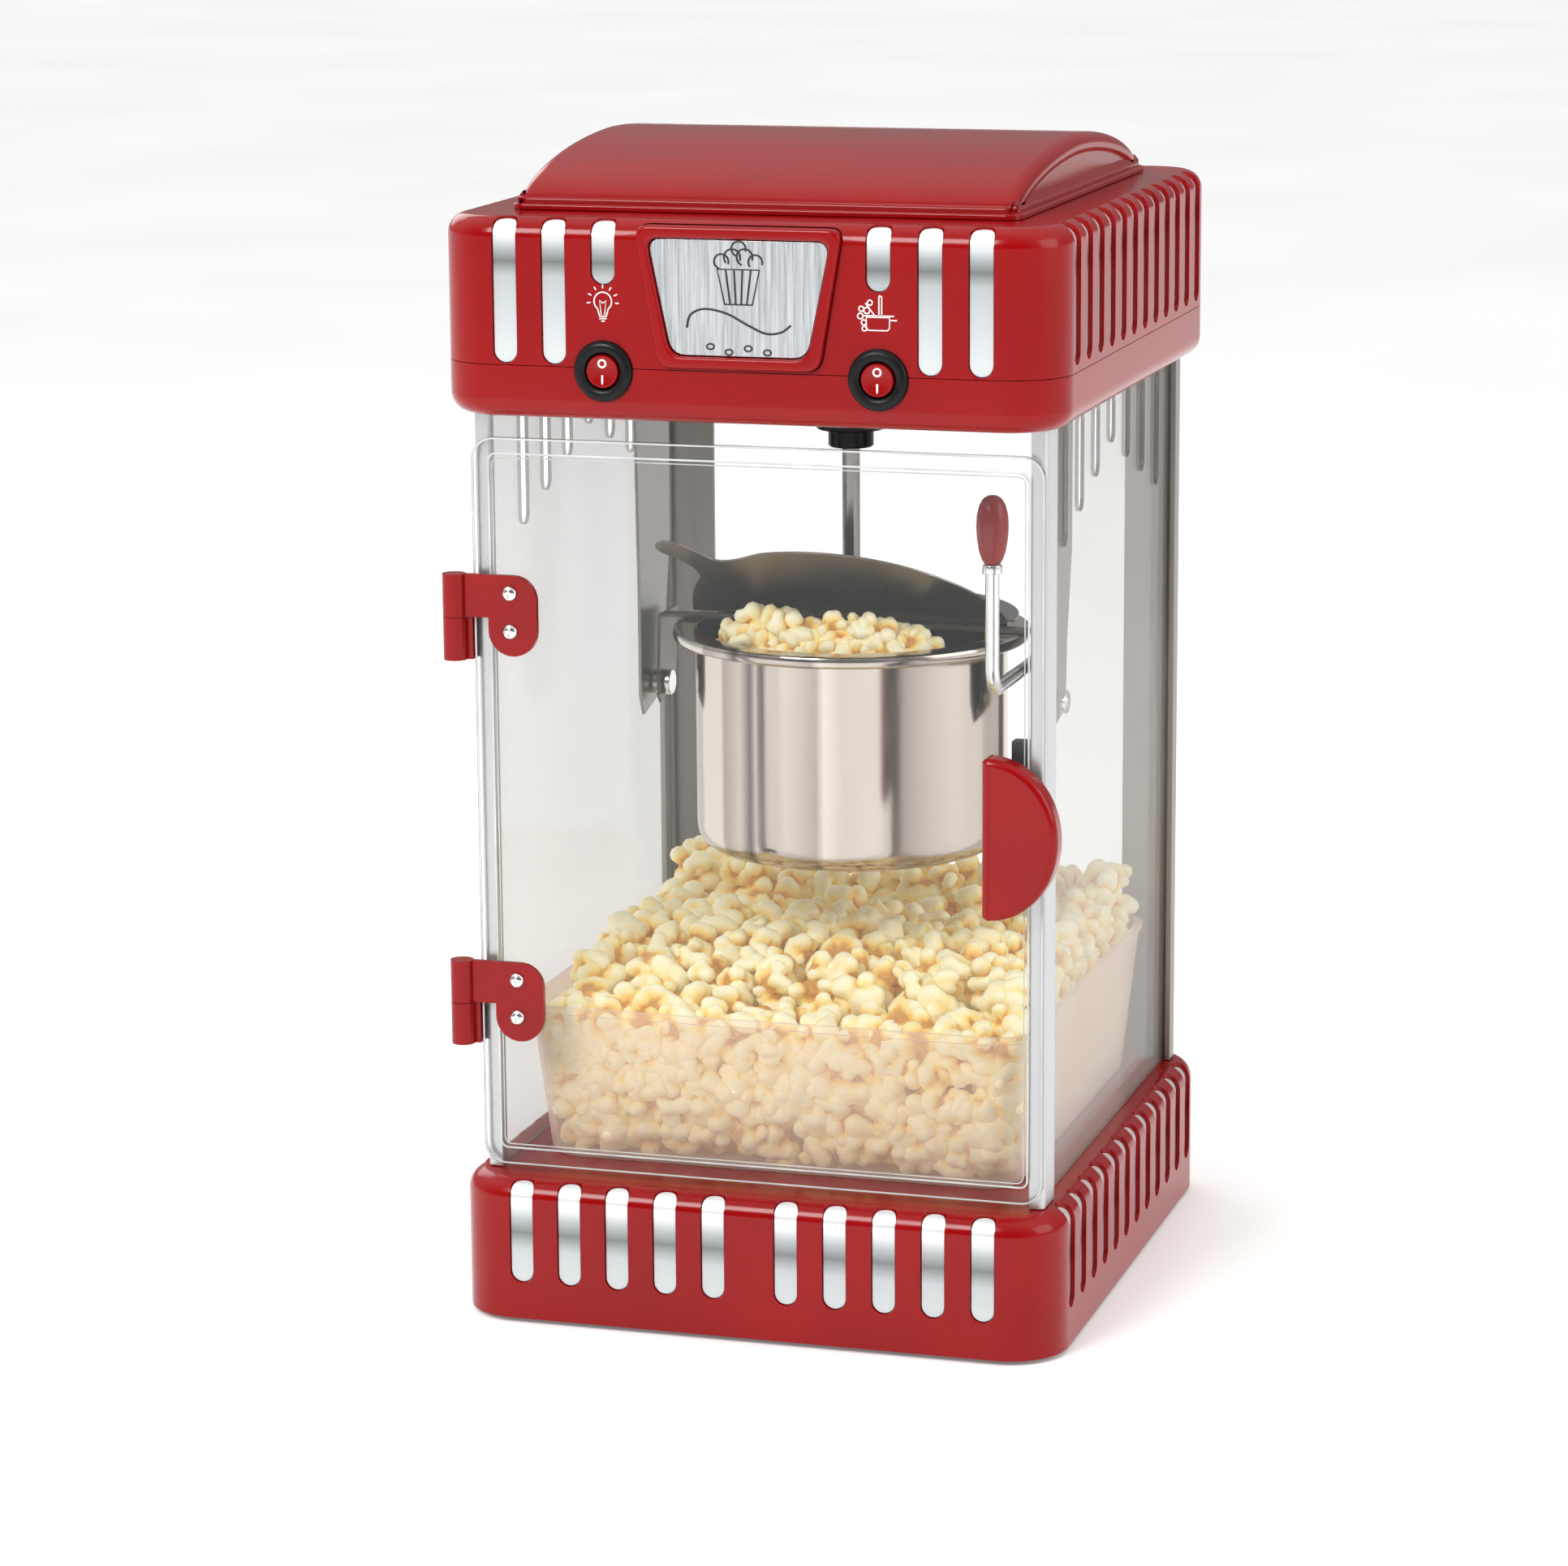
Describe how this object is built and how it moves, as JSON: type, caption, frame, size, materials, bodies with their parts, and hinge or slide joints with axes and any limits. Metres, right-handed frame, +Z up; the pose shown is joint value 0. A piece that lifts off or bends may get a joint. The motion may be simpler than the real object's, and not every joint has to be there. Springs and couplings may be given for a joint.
{
  "type": "tabletop popcorn maker",
  "caption": "Tabletop popcorn maker: slotted red base and domed hood, clear cabinet with a hinged door, tipping kettle with lever, lid flaps and stirrer, and a slide-out tray.",
  "frame": {"origin": "on the surface it stands on, under the middle of the overall footprint", "axes": "+Z up, front towards -Y, +X to the right as seen from the front"},
  "size_m": [0.2563, 0.2856, 0.4762],
  "materials": {
    "red_plastic": "candy red gloss moulding",
    "silver_liner": "satin silver sheet",
    "post_aluminium": "satin extrusion",
    "clear_acrylic": "clear",
    "lamp_glass": "clear",
    "frosted_tub": "frosted translucent",
    "black_plastic": "fine satin",
    "foot_rubber": "matt",
    "brushed_badge": "vertical brushing",
    "polished_steel": "mirror polish",
    "dark_steel": "dull dark sheet",
    "plain_steel": "plain"
  },
  "bodies": {
    "cabinet": {"base_housing": "red_plastic", "base_liner": "silver_liner", "bottom_plate": "black_plastic", "foot_front_left": "foot_rubber", "foot_front_right": "foot_rubber", "foot_rear_left": "foot_rubber", "foot_rear_right": "foot_rubber", "post_front_left": "post_aluminium", "post_front_right": "post_aluminium", "post_rear_left": "post_aluminium", "post_rear_right": "post_aluminium", "window_left": "clear_acrylic", "window_right": "clear_acrylic", "window_rear": "clear_acrylic", "hood_lower_rim": "red_plastic", "hood_upper_housing": "red_plastic", "hood_liner": "silver_liner", "ceiling_plate": "plain_steel", "roof": "red_plastic", "cord_gland": "black_plastic", "badge_bezel": "red_plastic", "badge_plate": "brushed_badge", "switch_bezel_left": "black_plastic", "switch_bezel_right": "black_plastic", "motor_gearbox": "dark_steel", "motor": "plain_steel", "coupler_skirt": "black_plastic", "lamp_socket": "black_plastic", "lamp_bulb": "lamp_glass", "hanger_left": "dark_steel", "hanger_right": "dark_steel", "hinge_fixed_upper": "red_plastic", "hinge_fixed_lower": "red_plastic", "hinge_pin_upper": "polished_steel", "hinge_pin_lower": "polished_steel", "door_catch": "black_plastic"},
    "door": {"door_panel": "clear_acrylic", "hinge_leaf_upper": "red_plastic", "hinge_leaf_lower": "red_plastic", "hinge_screw_upper_1": "plain_steel", "hinge_screw_upper_2": "plain_steel", "hinge_screw_lower_1": "plain_steel", "hinge_screw_lower_2": "plain_steel", "door_handle": "red_plastic", "handle_screw": "plain_steel"},
    "tray": {"tray": "frosted_tub"},
    "kettle": {"kettle_pot": "polished_steel", "kettle_heater": "dark_steel", "kettle_bridge": "dark_steel", "pivot_pin_left": "plain_steel", "pivot_pin_right": "plain_steel", "lever_rod": "polished_steel", "lever_knob": "red_plastic"},
    "stirrer": {"stirring_shaft": "plain_steel"},
    "lid_front": {"lid_flap_front": "dark_steel"},
    "lid_rear": {"lid_flap_rear": "dark_steel"},
    "drive": {"drive_coupler": "black_plastic"},
    "rocker_left": {"switch_rocker_left": "red_plastic"},
    "rocker_right": {"switch_rocker_right": "red_plastic"}
  },
  "joints": [
    {"name": "door_swing", "type": "hinge", "parent": "cabinet", "child": "door", "pos_m": [-0.1234, -0.12575, 0.212], "axis": [0, 0, -1], "range_deg": [0, 165]},
    {"name": "tray_slide", "type": "slide", "parent": "cabinet", "child": "tray", "axis": [0, -1, 0], "range_m": [0, 0.105]},
    {"name": "kettle_tip", "type": "hinge", "parent": "cabinet", "child": "kettle", "pos_m": [0.0016, 0.01525, 0.239], "axis": [1, 0, 0], "range_deg": [0, 95]},
    {"name": "stirrer_spin", "type": "hinge", "parent": "kettle", "child": "stirrer", "pos_m": [0.0016, 0.01525, 0.262], "axis": [0, 0, 1], "continuous": true},
    {"name": "drive_spin", "type": "hinge", "parent": "cabinet", "child": "drive", "pos_m": [0.0016, 0.01525, 0.355], "axis": [0, 0, 1], "continuous": true},
    {"name": "lid_front_lift", "type": "hinge", "parent": "kettle", "child": "lid_front", "pos_m": [0.0016, 0.01185, 0.2712], "axis": [-1, 0, 0], "range_deg": [-31, 43]},
    {"name": "lid_rear_lift", "type": "hinge", "parent": "kettle", "child": "lid_rear", "pos_m": [0.0016, 0.01865, 0.2712], "axis": [1, 0, 0], "range_deg": [0, 74]},
    {"name": "light_switch_rock", "type": "hinge", "parent": "cabinet", "child": "rocker_left", "pos_m": [-0.054, -0.13895, 0.393], "axis": [1, 0, 0], "range_deg": [-6, 6]},
    {"name": "kettle_switch_rock", "type": "hinge", "parent": "cabinet", "child": "rocker_right", "pos_m": [0.0572, -0.13895, 0.393], "axis": [1, 0, 0], "range_deg": [-6, 6]}
  ],
  "couplings": [
    {"joint": "tray_slide", "follows": "door_swing", "m_per_rad": 0.036}
  ]
}
